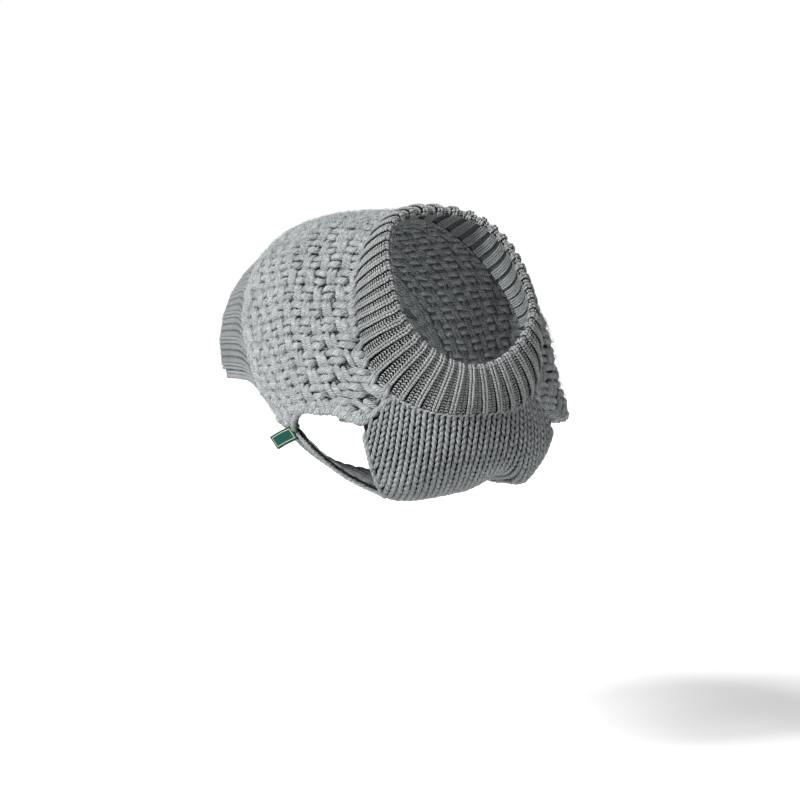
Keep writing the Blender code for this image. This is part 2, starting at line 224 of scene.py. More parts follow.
def read_grid(grid, rows, along, around):
    """Points of a grid at places between its rows and columns."""
    along, around = np.broadcast_arrays(np.asarray(along, float), np.asarray(around, float))
    around = (around + 1.0) % 2.0 - 1.0
    r = np.clip(along / rows[-1], 0.0, 1.0) * (len(rows) - 1)
    c = (around + 1.0) / 2.0 * (len(AROUND) - 1)
    r0 = np.clip(r.astype(int), 0, len(rows) - 2)
    c0 = np.clip(c.astype(int), 0, len(AROUND) - 2)
    fr, fc = (r - r0)[..., None], (c - c0)[..., None]
    top = grid[r0, c0] * (1 - fc) + grid[r0, c0 + 1] * fc
    low = grid[r0 + 1, c0] * (1 - fc) + grid[r0 + 1, c0 + 1] * fc
    return top * (1 - fr) + low * fr


def on_body(along, around, lift):
    """Point of the body and its outward direction, lift mm off the form."""
    out = unit(read_grid(body_out, BODY_ALONG, along, around))
    return read_grid(body, BODY_ALONG, along, around) + out * np.asarray(lift)[..., None], out


def on_collar(up, around, lift):
    """Point of the collar: up is 0 at the seam and 1 at the neck edge."""
    out = unit(read_grid(collar_out, COLLAR_UP, up, around))
    rise = np.interp(up, *zip(*COLLAR_RISE))
    return read_grid(collar, COLLAR_UP, up, around) + out * (rise + lift)[..., None], out


def along_for(length, around):
    """Place along the body that lies a length in mm behind the neckline."""
    along = np.asarray(length, float) / 200.0
    for _ in range(5):
        here = read_grid(lengths[..., None], BODY_ALONG, along, around)[..., 0]
        ahead = read_grid(lengths[..., None], BODY_ALONG, along + 0.02, around)[..., 0]
        along = np.clip(along + (length - here) * 0.02 / np.maximum(ahead - here, 0.5), 0.0, 0.97)
    return along


def girth_at(along):
    """Half girth in mm at places along the body."""
    return np.interp(along, BODY_ALONG, girths)


def edge_at(along, name):
    """Place around where a panel ends, cornered at the named corners."""
    along = np.asarray(along, float)
    knots = np.array(column(EDGES, EDGE_COLUMNS, "along"))
    values = np.array(column(EDGES, EDGE_COLUMNS, name))
    stops = [column(EDGES, EDGE_COLUMNS, "place").index(corner) for corner in CORNERS]
    result = np.full(along.shape, values[-1])
    for first, last in reversed(list(zip(stops[:-1], stops[1:]))):
        here = along <= knots[last] + 1e-9
        result = np.where(here, smooth(knots[first:last + 1], values[first:last + 1], along), result)
    return result


def band_start(around):
    """Place along where the rear band begins."""
    share = np.clip(np.abs(around) / BAND_SIDE_ROUND, 0.0, 1.0) ** BAND_CURVE
    return BAND_ON_SPINE + (BAND_AT_SIDE - BAND_ON_SPINE) * share


# %% [markdown]
# ## Strands of yarn
# Every stitch is a short length of yarn that comes up, lies over its neighbours and dives again.
# A curve object for each would be slow, so one capped tube is made with bmesh, and its copies
# are laid along their own centre lines and joined in one mesh. Each strand keeps a UV map: the
# first number is its length in centimetres, the second is the share of the way round it. The
# yarn material draws the twist of the plies on that.

# %% A tube and the way it is laid
def tube_template(sides, rings):
    """A capped tube along Z, cut into rings: its ring and angle for each vertex, and its faces."""
    tube = bmesh.new()
    bmesh.ops.create_cone(tube, cap_ends=True, segments=sides, radius1=1.0, radius2=1.0, depth=1.0)
    for ring in range(1, rings - 1):
        bmesh.ops.bisect_plane(tube, geom=tube.verts[:] + tube.edges[:] + tube.faces[:],
                               plane_co=(0.0, 0.0, ring / (rings - 1) - 0.5), plane_no=(0.0, 0.0, 1.0))
    bmesh.ops.recalc_face_normals(tube, faces=tube.faces)
    tube.verts.index_update()
    ring_of = np.array([round((v.co.z + 0.5) * (rings - 1)) for v in tube.verts])
    angle_of = np.array([math.atan2(v.co.y, v.co.x) for v in tube.verts])
    faces = [[v.index for v in f.verts] for f in tube.faces]
    tube.free()
    return ring_of, angle_of, faces


def ride_root(piece):
    """What every piece of the garment needs: its body."""
    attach(piece, "root")
    return piece


def lay_strands(name, centres, ups, wide, tall, sides, material):
    """One mesh of many strands. centres and ups are strands x rings x 3, wide and tall mm."""
    count, rings = centres.shape[:2]
    ring_of, angle_of, faces = tube_template(sides, rings)
    run = unit(np.gradient(centres, axis=1))
    across = unit(np.cross(ups, run))
    up = np.cross(run, across)
    wide = np.broadcast_to(wide, (count, rings))[:, ring_of, None]
    tall = np.broadcast_to(tall, (count, rings))[:, ring_of, None]
    points = centres[:, ring_of] + across[:, ring_of] * np.cos(angle_of)[:, None] * wide \
        + up[:, ring_of] * np.sin(angle_of)[:, None] * tall
    steps = np.linalg.norm(np.diff(centres, axis=1), axis=2)
    length = np.concatenate([np.zeros((count, 1)), np.cumsum(steps, axis=1)], axis=1) * 0.1
    length += chance.uniform(0.0, 1.0, (count, 1))
    corner = np.array([v for face in faces for v in face])
    sizes = np.array([len(face) for face in faces])
    starts = np.concatenate([[0], np.cumsum(sizes)[:-1]])
    turn = angle_of / (2.0 * np.pi) % 1.0
    # On the face where the turn passes a full round, the low numbers go on past 1.
    turns = np.concatenate([np.where((turn[f].max() - turn[f] > 0.5), turn[f] + 1.0, turn[f])
                            for f in map(np.array, faces)])
    mesh = bpy.data.meshes.new(name)
    verts = len(ring_of)
    mesh.vertices.add(count * verts)
    mesh.vertices.foreach_set("co", (points * MM).astype(np.float32).ravel())
    mesh.loops.add(count * len(corner))
    shift = np.arange(count)[:, None]
    mesh.loops.foreach_set("vertex_index", (corner[None] + shift * verts).astype(np.int32).ravel())
    mesh.polygons.add(count * len(faces))
    mesh.polygons.foreach_set("loop_start", (starts[None] + shift * len(corner)).astype(np.int32).ravel())
    mesh.polygons.foreach_set("use_smooth", np.ones(count * len(faces), bool))
    mesh.update(calc_edges=True)
    mesh.validate()
    layer = mesh.uv_layers.new(name="yarn")
    uv = np.stack([length[:, ring_of[corner]], np.broadcast_to(turns, (count, len(corner)))], axis=-1)
    layer.data.foreach_set("uv", uv.astype(np.float32).ravel())
    # Painted shade at the strand ends: a mask that is 1 in the middle of a strand and 0 where its ends are
    # buried, which the yarn material paints darker.
    painted_end_shade_mask = 1.0 - np.abs(2.0 * ring_of / (rings - 1) - 1.0) ** 2.5
    end_shade_layer = mesh.attributes.new("painted_end_shade_mask", "FLOAT", "POINT")
    end_shade_layer.data.foreach_set("value", np.tile(painted_end_shade_mask, count).astype(np.float32))
    mesh.materials.append(material)
    piece = bpy.data.objects.new(name, mesh)
    bpy.context.scene.collection.objects.link(piece)
    print(name, count, "strands,", sum(len(f) - 2 for f in faces) * count, "triangles")
    return ride_root(piece)


def jitter(shape, size):
    """Small seeded unevenness, as hand-fed yarn has."""
    return chance.uniform(-size, size, shape)


def lumpy(shape, size):
    """Factors about 1 that change from ring to ring, as thick and thin places of soft yarn do."""
    return 1.0 + jitter(shape, size)


# %% [markdown]
# ## Yarn
# The yarn is a soft wool and acrylic blend, wound from a few loose plies and not dyed to one flat
# shade: matt, cool grey, with faint streaks that wind along the strand and a bloom of loose
# fibre. It could be hair curves, but at this size the eye sees only the winding streaks, so they
# are drawn in colour and bump on the strand's own UV map, and sheen stands for the bloom. The
# colour is also darker in the grooves between the plies and at the hidden ends of each strand:
# that is painted shade.

# %% Colours and one helper for nodes
def linear(colour):
    """An sRGB hex colour as linear red, green, blue and alpha."""
    parts = [int(colour[i:i + 2], 16) / 255.0 for i in (1, 3, 5)]
    return tuple(p / 12.92 if p <= 0.04045 else ((p + 0.055) / 1.055) ** 2.4 for p in parts) + (1.0,)


def add_node(tree, kind, settings=(), links=()):
    """A node with its settings (name or input, value) and its links (input, from socket)."""
    node = tree.nodes.new(kind)
    for key, value in settings:
        if isinstance(key, str) and hasattr(node, key):
            setattr(node, key, value)
        else:
            node.inputs[key].default_value = value
    for key, source in links:
        tree.links.new(source, node.inputs[key])
    return node


# %% Plied yarn
TURN = 2.0 * math.pi


def yarn_material(name, light, dark, plies, ply_mm, depth_mm, ends, sheen):
    """Plied yarn for strands with the yarn UV map: matt fibre with winding streaks, and painted shade in the
    grooves between the plies and at the hidden ends.
    """
    material = bpy.data.materials.new(name)
    material.use_nodes = True
    tree = material.node_tree
    shader = tree.nodes["Principled BSDF"]
    # Wool scatters light from loose fibre: nearly no gloss, and a little bright at grazing angles.
    shader.inputs["Roughness"].default_value = 0.9
    shader.inputs["Sheen Weight"].default_value = sheen
    shader.inputs["Sheen Roughness"].default_value = 0.5
    shader.inputs["Specular IOR Level"].default_value = 0.15
    uv = add_node(tree, "ShaderNodeUVMap", [("uv_map", "yarn")])
    split = add_node(tree, "ShaderNodeSeparateXYZ", [], [("Vector", uv.outputs["UV"])])
    # Turn of the twist at each place: the plies pass ply_mm apart along the strand.
    turn = add_node(tree, "ShaderNodeMath", [("operation", "MULTIPLY_ADD"), (1, 10.0 / (plies * ply_mm))],
                    [(0, split.outputs["X"]), (2, split.outputs["Y"])])
    groove = add_node(tree, "ShaderNodeMath", [("operation", "MULTIPLY"), (1, TURN * plies)],
                     [(0, turn.outputs[0])])
    wave = add_node(tree, "ShaderNodeMath", [("operation", "SINE")], [(0, groove.outputs[0])])
    soft_wave = add_node(tree, "ShaderNodeMath", [("operation", "MULTIPLY"), (1, 0.45)], [(0, wave.outputs[0])])
    angle = add_node(tree, "ShaderNodeMath", [("operation", "MULTIPLY"), (1, TURN)], [(0, turn.outputs[0])])
    across = add_node(tree, "ShaderNodeMath", [("operation", "COSINE")], [(0, angle.outputs[0])])
    up = add_node(tree, "ShaderNodeMath", [("operation", "SINE")], [(0, angle.outputs[0])])
    # Real fibre is 0.03 mm thick. Its streaks are drawn about 0.6 mm wide so that they show.
    far = add_node(tree, "ShaderNodeMath", [("operation", "MULTIPLY"), (1, 1.8)], [(0, split.outputs["X"])])
    winding = add_node(tree, "ShaderNodeCombineXYZ", [],
                       [("X", far.outputs[0]), ("Y", across.outputs[0]), ("Z", up.outputs[0])])
    streak = add_node(tree, "ShaderNodeTexNoise", [("Scale", 2.6), ("Detail", 4.0), ("Roughness", 0.7)],
                      [("Vector", winding.outputs["Vector"])])
    height = add_node(tree, "ShaderNodeMath", [("operation", "MULTIPLY_ADD"), (1, 5.0)],
                      [(0, streak.outputs["Fac"]), (2, soft_wave.outputs[0])])
    bump = add_node(tree, "ShaderNodeBump", [("Strength", 0.9), ("Distance", depth_mm * MM)],
                    [("Height", height.outputs[0])])
    tree.links.new(bump.outputs["Normal"], shader.inputs["Normal"])
    # Painted shade: the same height that makes the bump sets the colour, so the grooves between the plies are
    # painted darker.
    shade = add_node(tree, "ShaderNodeMapRange",
                     [("From Min", 1.6), ("From Max", 3.4), ("To Min", 0.0), ("To Max", 0.85)],
                     [("Value", height.outputs[0])])
    # The dye varies a little from one part of the garment to the next.
    place = add_node(tree, "ShaderNodeTexCoord")
    dye = add_node(tree, "ShaderNodeTexNoise", [("Scale", 45.0), ("Detail", 1.0)],
                   [("Vector", place.outputs["Object"])])
    mixed = add_node(tree, "ShaderNodeMath", [("operation", "MULTIPLY_ADD"), (1, 0.3)],
                     [(0, dye.outputs["Fac"]), (2, shade.outputs["Result"])])
    # Painted shade: where a strand goes under its neighbours, they and their loose fibre keep the light out, so
    # its ends are painted darker.
    buried = add_node(tree, "ShaderNodeAttribute", [("attribute_name", "painted_end_shade_mask")])
    kept = add_node(tree, "ShaderNodeMapRange", [("To Min", ends), ("To Max", 1.0)],
                    [("Value", buried.outputs["Fac"])])
    shown = add_node(tree, "ShaderNodeMath", [("operation", "MULTIPLY")],
                     [(0, mixed.outputs[0]), (1, kept.outputs["Result"])])
    tint = add_node(tree, "ShaderNodeMix", [("data_type", "RGBA"), (6, linear(dark)), (7, linear(light))],
                    [(0, shown.outputs[0])])
    tree.links.new(tint.outputs[2], shader.inputs["Base Color"])
    print(name, "made,", plies, "plies every", ply_mm, "mm")
    return material


# The second last number, ends, is the share of the colour that the painted shade leaves at a strand's buried
# ends.
# Real plies pass about every millimetre. They are drawn every 1.5 to 1.75 mm, so that they show.
chunky_yarn = yarn_material("chunky_plied_wool_blend", "#D2D7D8", "#4C5153", 6, 1.75, 0.34, 0.35, 0.15)
chest_yarn = yarn_material("middle_plied_wool_blend", "#C6CBCC", "#34393B", 4, 1.6, 0.26, 0.25, 0.15)
fine_yarn = yarn_material("fine_plied_wool_blend", "#DCE1E1", "#1E2223", 3, 1.5, 0.20, 0.0, 0.15)
# The same yarn from the back, as short dashes. Their paler colour is painted light and their darker ends are
# painted shade, so that each one shows.
valley_yarn_painted_light = yarn_material("fine_plied_wool_blend_backs_painted_light", "#F4F6F6", "#1E2223", 3, 1.5, 0.20, 0.0, 0.15)
# Stretched thin, the band's yarn lets the shade under it through, and little of its twist is left. That shade
# is painted: the band's yarn is drawn darker than the same yarn in the collar.
band_yarn_painted_shade = yarn_material("band_plied_wool_blend_painted_shade", "#A8ADAE", "#54585A", 3, 1.5, 0.16, 0.45, 0.15)
# A single fibre is thin and lets light through. Its nearly white colour is painted light: the same wool, drawn
# paler than the yarn.
fuzz_yarn_painted_light = yarn_material("loose_wool_fibre_painted_light", "#E2E6E7", "#A4AAAC", 3, 1.5, 0.05, 1.0, 0.15)

# %% Cloth behind the strands
def backing_material(name, colour, rib_mm, row_mm):
    """Wrong side of the knitting, seen in the gaps: a flat colour painted dark as the shade there, with rows of
    small loops as a bump.
    """
    material = bpy.data.materials.new(name)
    material.use_nodes = True
    tree = material.node_tree
    shader = tree.nodes["Principled BSDF"]
    shader.inputs["Roughness"].default_value = 0.95
    shader.inputs["Base Color"].default_value = linear(colour)
    shader.inputs["Specular IOR Level"].default_value = 0.15
    uv = add_node(tree, "ShaderNodeUVMap", [("uv_map", "cloth")])
    split = add_node(tree, "ShaderNodeSeparateXYZ", [], [("Vector", uv.outputs["UV"])])
    waves = []
    for axis, size in (("X", rib_mm), ("Y", row_mm)):
        scaled = add_node(tree, "ShaderNodeMath", [("operation", "MULTIPLY"), (1, TURN * 10.0 / size)],
                          [(0, split.outputs[axis])])
        waves.append(add_node(tree, "ShaderNodeMath", [("operation", "SINE")], [(0, scaled.outputs[0])]))
    height = add_node(tree, "ShaderNodeMath", [("operation", "MULTIPLY")],
                      [(0, waves[0].outputs[0]), (1, waves[1].outputs[0])])
    bump = add_node(tree, "ShaderNodeBump", [("Strength", 0.9), ("Distance", 0.6 * MM)],
                    [("Height", height.outputs[0])])
    tree.links.new(bump.outputs["Normal"], shader.inputs["Normal"])
    return material


# These colours are painted shade: each backing is the same yarn, painted dark as the shade in the gaps of its
# knit, nearly black under the chest stitches and the ribs.
basket_shade_backing = backing_material("basket_knit_backing_painted_shade", "#33383A", 9.0, 5.5)
plain_shade_backing = backing_material("plain_knit_backing_painted_shade", "#101213", 6.0, 3.2)
rib_shade_backing = backing_material("rib_knit_backing_painted_shade", "#0C0E0F", 8.5, 1.8)
band_shade_backing = backing_material("band_knit_backing_painted_shade", "#4A4F50", 8.5, 1.8)
# The side next to the wearer is seen between fewer strands. Its colour is painted shade: the yarn's grey as it
# looks in the shade inside the garment.
inside_shade_backing = backing_material("knit_inside_painted_shade", "#5E6364", 4.4, 2.2)

# %% [markdown]
# ## The cloth layer
# Each cut piece gets a thin sheet under its stitches, so that no gap shows through. Its dark
# colour is painted shade, as the gaps between the strands show it. A bmesh grid has one square
# for every few millimetres of cloth, its corners are placed on the form, and a Solidify modifier
# gives it thickness on the inside.

# %% Sheets on the form
HEART = np.array([0.0, -0.06, -0.065])


def cloth_sheet(name, columns, rows, place, thickness, material, closed=False, inside=inside_shade_backing):
    """A grid whose corners go where place(x, y) says, with x and y from 0 to 1, in mm."""
    cloth = bmesh.new()
    bmesh.ops.create_grid(cloth, x_segments=columns, y_segments=rows, size=0.5)
    flat = np.array([v.co[:] for v in cloth.verts])
    x, y = flat[:, 0] + 0.5, flat[:, 1] + 0.5
    points, uv = place(x, y)
    layer = cloth.loops.layers.uv.new("cloth")
    for face in cloth.faces:
        for loop in face.loops:
            loop[layer].uv = uv[loop.vert.index] * 0.1
    for vert, point in zip(cloth.verts, points):
        vert.co = point * MM
    if closed:
        bmesh.ops.remove_doubles(cloth, verts=cloth.verts, dist=1e-6)
    mesh = bpy.data.meshes.new(name)
    cloth.to_mesh(mesh)
    cloth.free()
    middle = np.array([p.center[:] for p in mesh.polygons])
    normals = np.array([p.normal[:] for p in mesh.polygons])
    # The grid may come out with its faces inwards, so they are compared with the garment's middle.
    if ((middle - HEART) * normals).sum() < 0:
        mesh.flip_normals()
    mesh.polygons.foreach_set("use_smooth", np.ones(len(mesh.polygons), bool))
    mesh.materials.append(material)
    piece = bpy.data.objects.new(name, mesh)
    bpy.context.scene.collection.objects.link(piece)
    wall = piece.modifiers.new("thickness", "SOLIDIFY")
    wall.thickness, wall.offset = thickness * MM, -1.0
    if inside is not None:
        mesh.materials.append(inside)
        wall.material_offset = 1
    area = sum(p.area for p in mesh.polygons)
    print(name, len(mesh.polygons), "squares,", round(area * 1e4), "square cm")
    return ride_root(piece)


# %% Where each sheet lies
# The sheets lie this far below the form's face, in mm, so that the strands stand on them.
BACK_LIFT, CHEST_LIFT, COLLAR_LIFT, HEM_LIFT = -1.7, -1.6, -1.3, -1.9
PATTERN_LONG = 190.0
COLLAR_HEIGHT = 36.0
CLOTH_INSET = 0.004
EDGE_INSET = 0.006
BACK_LAST = 0.74


def settled(share_along, around):
    """Place along the back panel for a share of its length, so that the last row meets the band."""
    nominal = BACK_LAST * share_along
    start = band_start(around)
    beyond = np.clip((nominal - CHEST_LAST) / (BACK_LAST - CHEST_LAST), 0.0, 1.0)
    return np.where(nominal <= CHEST_LAST, nominal, CHEST_LAST + beyond * (start - CHEST_LAST))


def cloth_on_body(along, around, lift):
    """Points of a sheet on the body, and its map in mm."""
    points, _ = on_body(along, around, np.full(along.shape, lift))
    return points, np.stack([around * girth_at(along), along * PATTERN_LONG], axis=-1)


def place_back(x, y):
    side = settled(y, np.full(y.shape, BAND_SIDE_ROUND))
    around = (2.0 * x - 1.0) * (edge_at(side, "back") - CLOTH_INSET)
    return cloth_on_body(settled(y, around), around, BACK_LIFT)


def place_chest(x, y):
    along = y * CHEST_LAST
    seam = (edge_at(along, "chest") - edge_at(along, "back")) < 0.01
    first = edge_at(along, "chest") + np.where(seam, -CLOTH_INSET, CLOTH_INSET)
    return cloth_on_body(along, first + x * (2.0 - 2.0 * first), CHEST_LIFT)


def place_collar(x, y):
    around = 2.0 * x - 1.0
    up = y * 0.992
    points, _ = on_collar(up, around, np.full(x.shape, COLLAR_LIFT))
    return points, np.stack([around * PATTERN_LONG, up * COLLAR_HEIGHT], axis=-1)


def place_hem(x, y):
    nominal = BAND_AT_SIDE + y * (1.0 - BAND_AT_SIDE)
    around = (2.0 * x - 1.0) * (edge_at(nominal, "back") - EDGE_INSET)
    start = band_start(around)
    return cloth_on_body(start + y * (0.9995 - start), around, HEM_LIFT)


# %% The four sheets
back_cloth = cloth_sheet("back_cloth", 90, 60, place_back, 1.1, basket_shade_backing)
chest_cloth = cloth_sheet("chest_cloth", 60, 60, place_chest, 1.0, plain_shade_backing)
collar_cloth = cloth_sheet("collar_cloth", 176, 14, place_collar, 1.2, rib_shade_backing, closed=True)
hem_cloth = cloth_sheet("hem_cloth", 96, 16, place_hem, 1.2, band_shade_backing)

# %% [markdown]
# ## Basket knit
# The back is a double moss stitch in chunky yarn: squares of two purl stitches by two rows beside
# squares of two plain stitches by two rows. A purl square shows as two fat bars lying along the
# body, and a plain square as two upright columns that lean a little. Bars and columns dive under
# each other at the corners, which leaves small dark holes. A texture would be flat at the
# outline, so each bar and column is a strand, placed on a chart of squares.

# %% Where each square lies
# Sizes of a square and of the gap at the neckline in mm. CHART_START is in squares.
SQUARE_ROUND = 11.1
SQUARE_ALONG = 8.5
NECKLINE_GAP = 1.0
CHART_START = 0.794
FIRST_GIRTH = 250.0
CAST_OFF_INSET = 0.007
# The strands beside the rear band lie in lanes. These are places along the form.
REAR_LANES = 4
LANES_BEHIND = 0.002
LANE_PITCH = 0.0165


def drop_below(k):
    """Squares below the widest place, where the knitting is stretched lengthwise by the foreleg."""
    return np.clip(np.abs(k) - 8.5, 0.0, None)


def squares_from(length, k):
    """How many squares from the neckline a length in mm is."""
    return length / (SQUARE_ALONG + 0.3 * drop_below(k)) - CHART_START + 0.16 * drop_below(k)


def row_shift(along, k):
    """Millimetres by which a row lies nearer the spine: the neckline and the rear pull it up."""
    rows = np.abs(k)
    front = 12.1 * np.clip(1.0 - along / 0.125, 0.0, 1.0) * (1.0 - 0.12 * np.clip(rows - 11.0, 0.0, None))
    rear = 6.3 * np.clip((along - 0.33) / 0.27, 0.0, None) ** 1.5
    rear = rear * (1.0 + 0.25 * np.clip(rows - 9.5, 0.0, None))
    return (front + rear) * np.clip(rows / 5.0, 0.0, 1.0)


def basket_place(m, k):
    """Place along and around of a point of the chart: m squares from the neckline, k from the spine."""
    length = (m + CHART_START - 0.16 * drop_below(k)) * (SQUARE_ALONG + 0.3 * drop_below(k))
    around = k * SQUARE_ROUND / FIRST_GIRTH
    for _ in range(4):
        along = along_for(np.clip(length, 0.0, None), around)
        around = (k * SQUARE_ROUND - np.sign(k) * row_shift(along, k)) / girth_at(along)
    return along, around


def basket_point(m, k, lift):
    """Point of the basket at a place of the chart."""
    along, around = basket_place(m, k)
    return on_body(along, around, lift)


def lanes_at(around):
    """Place along where the basket ends and the long rear strands begin."""
    return band_start(around) + LANES_BEHIND - LANE_PITCH * REAR_LANES


def chart_limits(m, k):
    """First and last m, and the farthest k, that the back panel allows at each place."""
    along, around = basket_place(m, k)
    ends = lanes_at(around)
    last = squares_from(read_grid(lengths[..., None], BODY_ALONG, ends, around)[..., 0], k)
    reach = (edge_at(along, "back") - CAST_OFF_INSET) * girth_at(along) + row_shift(along, k)
    return squares_from(NECKLINE_GAP, k), last, reach / SQUARE_ROUND


def fitted(values, low, high):
    """Strands shortened so that they end between low and high, and the length that is left."""
    start, end = values.min(axis=1), values.max(axis=1)
    new_start, new_end = np.maximum(start, low), np.minimum(end, high)
    share = (values - start[:, None]) / (end - start)[:, None]
    kept = new_end - new_start
    return new_start[:, None] + share * kept[:, None], kept / (end - start)


squares = [(m, k) for k in range(-16, 16) for m in range(-3, 18)]
middle_m = np.array([m + 0.5 for m, _ in squares])
middle_k = np.array([k + 0.5 for _, k in squares])
purl = np.array([(m + k + 1) % 2 == 0 for m, k in squares])
print(purl.sum(), "purl squares and", (~purl).sum(), "plain squares on the chart")


# %% Purl bars
def bars(name, chosen, floor_lift, top_lift, size, sides, rings, facing):
    """Two fat bars on each chosen square, outside (facing 1) or inside (facing -1)."""
    m = np.concatenate([middle_m[chosen], middle_m[chosen]])
    side = np.repeat([-1.0, 1.0], len(m) // 2)
    k = np.concatenate([middle_k[chosen], middle_k[chosen]])
    lower = (side * np.sign(k) > 0)[:, None]
    first, last, reach = chart_limits(m, k)
    t = np.linspace(-1.0, 1.0, rings)
    # The lower bar ends early towards the neck, which opens the hole at the square's corner.
    ahead = np.where(lower, 0.45 + 0.31 * np.clip((m[:, None] - 7.0) / 3.0, 0.0, 1.0), 0.78)
    mm, left = fitted(m[:, None] + np.where(t[None] < 0.0, ahead, 0.78) * t[None], first, last)
    keep = (left > 0.3) & (np.abs(k + 0.24 * side) < reach - 0.06)
    m, k, side, mm, left = m[keep], k[keep], side[keep], mm[keep], left[keep]
    count = len(m)
    rear = np.clip((m - 7.0) / 6.0, 0.0, 1.0)[:, None]
    shape = 1.0 - np.abs(t)[None] ** 3.0
    lobes = np.cos(2.0 * np.pi * t)[None]
    mm = mm + jitter(count, 0.03)[:, None]
    apart = 0.250 - 0.075 * np.abs(t)[None] ** 2.5 + 0.012 * lobes + jitter(count, 0.012)[:, None]
    kk = k[:, None] + side[:, None] * apart
    kk = kk + jitter(count, 0.05)[:, None] * t[None] + jitter(mm.shape, 0.014)
    lift = floor_lift + (top_lift - floor_lift) * shape \
        + facing * (jitter(count, 0.22)[:, None] - 0.12 * lobes - 0.35 * rear)
    centres, ups = basket_point(mm, kk, lift)
    grow = (1.0 + jitter(count, 0.08)[:, None]) * size
    uneven = lumpy(mm.shape, 0.11)
    wide = (2.20 * (0.50 + 0.50 * shape) - 0.14 * lobes) * grow * uneven
    tall = (1.60 * (0.50 + 0.50 * shape) - 0.08 * lobes) * grow * uneven
    return lay_strands(name, centres, ups * facing, wide, tall, sides, chunky_yarn)


basket_bars = bars("basket_bars", purl, -1.9, -0.2, 1.0, 6, 11, 1)


# %% Plain columns
def columns(name, chosen, floor_lift, top_lift, size, sides, rings, facing):
    """Two upright columns on each chosen square, which lean and grow prouder to the rear."""
    m = np.concatenate([middle_m[chosen] - 0.19, middle_m[chosen] + 0.19])
    k = np.concatenate([middle_k[chosen], middle_k[chosen]])
    ahead = (np.arange(len(m)) < len(m) // 2)[:, None]
    first, last, reach = chart_limits(m, k)
    t = np.linspace(-1.0, 1.0, rings)
    long = 0.66 + 0.008 * m[:, None]
    # Of each pair, the column nearer the neck starts a little lower, beside the hole above it.
    upper_end = t[None] * np.sign(k)[:, None] < 0.0
    kk, left = fitted(k[:, None] + np.where(upper_end & ahead, long - 0.20, long) * t[None], -reach, reach)
    keep = (left > 0.35) & (m > first + 0.1) & (m < last - 0.05)
    m, k, kk = m[keep], k[keep], kk[keep]
    count = len(m)
    rear = np.clip((m - 7.0) / 5.0, 0.0, 1.0)[:, None]
    shape = 1.0 - np.abs(t)[None] ** 2.6
    lobes = np.cos(2.0 * np.pi * t)[None]
    mm = m[:, None] + (0.085 + jitter(count, 0.05)[:, None]) * t[None] + jitter(count, 0.03)[:, None]
    mm = mm + jitter(mm.shape, 0.018)
    kk = kk + jitter(count, 0.04)[:, None]
    lift = floor_lift + (top_lift - floor_lift) * shape \
        + facing * (jitter(count, 0.18)[:, None] + 0.35 * rear - 0.10 * lobes)
    centres, ups = basket_point(mm, kk, lift)
    grow = (1.0 + jitter(count, 0.08)[:, None]) * size
    uneven = lumpy(kk.shape, 0.11)
    wide = (1.84 * (0.50 + 0.50 * shape) - 0.12 * lobes) * grow * uneven
    tall = (1.45 * (0.50 + 0.50 * shape) - 0.08 * lobes) * grow * uneven
    return lay_strands(name, centres, ups * facing, wide, tall, sides, chunky_yarn)


basket_columns = columns("basket_columns", ~purl, -2.0, 0.25, 1.0, 6, 11, 1)

# %% The same basket from inside
inner_bars = bars("inner_bars", ~purl, -2.3, -3.0, 0.9, 5, 6, -1)
inner_columns = columns("inner_columns", purl, -2.3, -2.9, 0.9, 5, 6, -1)

# %% [markdown]
# ## Loose fibre
# Soft yarn sheds: short fibres stand off every strand and blur its outline. They could be hair
# curves, but those are not one mesh, so each fibre is a thin strand of the same kind as the rest.
# A real fibre is 0.03 mm thick. These are drawn 0.2 mm thick and few, so that they show.

# %% Fibres that stand off the yarn
def fibres(name, count, place_of, radius, yarn):
    """Short curved fibres. place_of(n) gives a length and an around for each, with its lift, in mm."""
    x, y, lift, on_form = place_of(count)
    heading = chance.uniform(0.0, 2.0 * np.pi, count)[:, None]
    bend = jitter(count, 1.1)[:, None]
    t = np.linspace(-0.5, 0.5, 4)[None]
    reach = chance.uniform(2.4, 4.6, count)[:, None]
    far = x[:, None] + reach * t * np.cos(heading + bend * t)
    off = y[:, None] + reach * t * np.sin(heading + bend * t)
    bow = chance.uniform(0.1, 0.9, count)[:, None] * (1.0 - 4.0 * t * t)
    rise = lift[:, None] + bow + 0.8 * jitter(count, 1.0)[:, None] * t
    centres, ups = on_form(far, off, rise)
    wide = radius * (1.0 - 2.8 * t * t)
    return lay_strands(name, centres, ups, wide, wide, 3, yarn)


def back_places(count):
    """Seeded places on the back panel, at the height of its bars, and lower on the rear strands."""
    m, k = chance.uniform(-0.4, 15.0, count * 2), chance.uniform(-14.5, 14.5, count * 2)
    first, last, reach = chart_limits(m, k)
    keep = np.where((m > first + 0.1) & (m < last + 3.0) & (np.abs(k) < reach - 0.1))[0][:count]
    lift = chance.uniform(1.0, 1.8, len(keep)) - np.where(m[keep] > last[keep], 1.1, 0.0)
    return m[keep] * SQUARE_ALONG, k[keep] * SQUARE_ROUND, lift, \
        lambda far, off, rise: basket_point(far / SQUARE_ALONG, off / SQUARE_ROUND, rise)


fibres("back_loose_fibres", 7000, back_places, 0.11, fuzz_yarn_painted_light)

# %% [markdown]
# ## Rear strands, cast-off edges and seams
# Near the rear band the first rows of the panel are pulled into long strands that lie along the
# band. The free edges are cast off, which makes a plait of slanting strands, each over the next,
# and the seams are linked with the same kind of row. All of them are legs laid one after another
# on a line, so one function lays them all.

